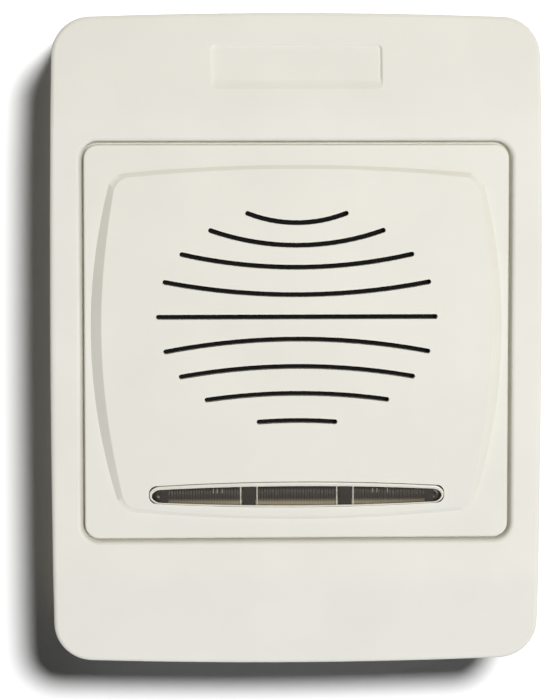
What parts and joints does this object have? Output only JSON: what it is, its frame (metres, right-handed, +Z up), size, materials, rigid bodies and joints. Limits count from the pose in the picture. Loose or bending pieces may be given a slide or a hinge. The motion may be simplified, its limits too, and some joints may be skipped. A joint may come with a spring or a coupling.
{
  "type": "external sounder",
  "caption": "Wall-mounted cream plastic alarm sounder: square snap-in grille panel with curved sound slots and a low strobe lens, hung on a back plate.",
  "frame": {"origin": "on the wall, behind the middle of the casing, at the centre of the back plate's mounting face", "axes": "+X to the right seen from the front, +Z up, front faces -Y, wall plane at Y = 0"},
  "size_m": [0.09, 0.0362, 0.1196],
  "materials": {
    "basket_steel": "satin",
    "black_cloth": "woven",
    "black_foam": "matt",
    "black_plastic": "matt",
    "black_rubber": "satin",
    "black_seal": "matt",
    "can_sleeve": "satin",
    "chip_resin": "matt",
    "circuit_board": "semi-gloss",
    "cone_paper": "matt",
    "contact_brass": "tinned",
    "copper_winding": "enamelled",
    "cream_abs": "fine satin texture",
    "cream_abs_panel": "fine satin texture",
    "cream_abs_plate": "fine satin texture",
    "cream_abs_rear": "fine satin texture",
    "ferrite": "matt",
    "lamp_resin": "gloss",
    "screw_steel": "zinc plated",
    "smoked_lens": "polished, smoked",
    "spider_cloth": "matt",
    "spring_steel": "bright",
    "surround_rubber": "satin",
    "terminal_green": "satin",
    "terminal_strip": "tinned",
    "white_nylon": "satin",
    "wire_insulation": "satin",
    "zinc_steel": "zinc plated"
  },
  "bodies": {
    "wall_part": {"back_plate": "cream_abs_plate", "cable_grommet": "black_rubber"},
    "sounder": {"amplifier_chip": "chip_resin", "board_screws": "screw_steel", "board_small_parts": "chip_resin", "capacitors": "can_sleeve", "casing": "cream_abs", "choke": "ferrite", "controller_chip": "chip_resin", "dust_screen": "black_cloth", "grille_panel": "cream_abs_panel", "lamp_board": "circuit_board", "lamp_board_screws": "screw_steel", "lamp_header": "white_nylon", "lamp_plug": "white_nylon", "lamp_wires": "wire_insulation", "light_shroud": "black_plastic", "main_board": "circuit_board", "rear_cover": "cream_abs_rear", "rear_cover_screws": "screw_steel", "rear_seal": "black_seal", "speaker_basket": "basket_steel", "speaker_clamps": "zinc_steel", "speaker_gasket": "black_foam", "speaker_header": "white_nylon", "speaker_magnet": "ferrite", "speaker_plug": "white_nylon", "speaker_screws": "screw_steel", "speaker_spider": "spider_cloth", "speaker_surround": "surround_rubber", "speaker_terminals": "terminal_strip", "speaker_top_plate": "zinc_steel", "speaker_wires": "wire_insulation", "speaker_yoke": "zinc_steel", "strobe_lamps": "lamp_resin", "strobe_lens": "smoked_lens", "tamper_spring": "spring_steel", "tamper_switch": "chip_resin", "terminal_block": "terminal_green", "terminal_contacts": "contact_brass"},
    "lock_screw": {"lock_screw": "screw_steel"},
    "plunger": {"tamper_plunger": "white_nylon"},
    "cone": {"speaker_cone": "cone_paper", "speaker_dust_cap": "cone_paper", "voice_coil": "copper_winding"},
    "screw_1": {"terminal_screw_1": "screw_steel"},
    "clamp_1": {"terminal_clamp_1": "zinc_steel"},
    "screw_2": {"terminal_screw_2": "screw_steel"},
    "clamp_2": {"terminal_clamp_2": "zinc_steel"},
    "screw_3": {"terminal_screw_3": "screw_steel"},
    "clamp_3": {"terminal_clamp_3": "zinc_steel"},
    "screw_4": {"terminal_screw_4": "screw_steel"},
    "clamp_4": {"terminal_clamp_4": "zinc_steel"},
    "screw_5": {"terminal_screw_5": "screw_steel"},
    "clamp_5": {"terminal_clamp_5": "zinc_steel"},
    "screw_6": {"terminal_screw_6": "screw_steel"},
    "clamp_6": {"terminal_clamp_6": "zinc_steel"}
  },
  "joints": [
    {"name": "unit_swing", "type": "hinge", "parent": "wall_part", "child": "sounder", "pos_m": [0, -0.0034, 0.0543], "axis": [-1, 0, 0], "range_deg": [0, 15]},
    {"name": "lock_turn", "type": "hinge", "parent": "wall_part", "child": "lock_screw", "pos_m": [0, -0.0023, -0.05725], "axis": [0, 0, -1], "range_deg": [0, 180]},
    {"name": "tamper_press", "type": "slide", "parent": "sounder", "child": "plunger", "axis": [0, 1, 0], "range_m": [0, 0.0018], "stiffness_N_per_m": 150, "springref_m": 0.0018, "deforming": ["tamper_spring"]},
    {"name": "cone_travel", "type": "slide", "parent": "sounder", "child": "cone", "axis": [0, -1, 0], "range_m": [-0.0006, 0.0006], "stiffness_N_per_m": 3000, "deforming": ["speaker_surround", "speaker_spider"]},
    {"name": "screw_turn_1", "type": "hinge", "parent": "sounder", "child": "screw_1", "pos_m": [-0.0125, -0.006, -0.04], "axis": [0, -1, 0], "range_deg": [0, 1121]},
    {"name": "clamp_rise_1", "type": "slide", "parent": "sounder", "child": "clamp_1", "axis": [0, 1, 0], "range_m": [0, 0.0014]},
    {"name": "screw_turn_2", "type": "hinge", "parent": "sounder", "child": "screw_2", "pos_m": [-0.0075, -0.006, -0.04], "axis": [0, -1, 0], "range_deg": [0, 1121]},
    {"name": "clamp_rise_2", "type": "slide", "parent": "sounder", "child": "clamp_2", "axis": [0, 1, 0], "range_m": [0, 0.0014]},
    {"name": "screw_turn_3", "type": "hinge", "parent": "sounder", "child": "screw_3", "pos_m": [-0.0025, -0.006, -0.04], "axis": [0, -1, 0], "range_deg": [0, 1121]},
    {"name": "clamp_rise_3", "type": "slide", "parent": "sounder", "child": "clamp_3", "axis": [0, 1, 0], "range_m": [0, 0.0014]},
    {"name": "screw_turn_4", "type": "hinge", "parent": "sounder", "child": "screw_4", "pos_m": [0.0025, -0.006, -0.04], "axis": [0, -1, 0], "range_deg": [0, 1121]},
    {"name": "clamp_rise_4", "type": "slide", "parent": "sounder", "child": "clamp_4", "axis": [0, 1, 0], "range_m": [0, 0.0014]},
    {"name": "screw_turn_5", "type": "hinge", "parent": "sounder", "child": "screw_5", "pos_m": [0.0075, -0.006, -0.04], "axis": [0, -1, 0], "range_deg": [0, 1121]},
    {"name": "clamp_rise_5", "type": "slide", "parent": "sounder", "child": "clamp_5", "axis": [0, 1, 0], "range_m": [0, 0.0014]},
    {"name": "screw_turn_6", "type": "hinge", "parent": "sounder", "child": "screw_6", "pos_m": [0.0125, -0.006, -0.04], "axis": [0, -1, 0], "range_deg": [0, 1121]},
    {"name": "clamp_rise_6", "type": "slide", "parent": "sounder", "child": "clamp_6", "axis": [0, 1, 0], "range_m": [0, 0.0014]}
  ],
  "couplings": [
    {"joint": "screw_turn_1", "follows": "clamp_rise_1", "rad_per_m": 13963},
    {"joint": "screw_turn_2", "follows": "clamp_rise_2", "rad_per_m": 13963},
    {"joint": "screw_turn_3", "follows": "clamp_rise_3", "rad_per_m": 13963},
    {"joint": "screw_turn_4", "follows": "clamp_rise_4", "rad_per_m": 13963},
    {"joint": "screw_turn_5", "follows": "clamp_rise_5", "rad_per_m": 13963},
    {"joint": "screw_turn_6", "follows": "clamp_rise_6", "rad_per_m": 13963}
  ]
}
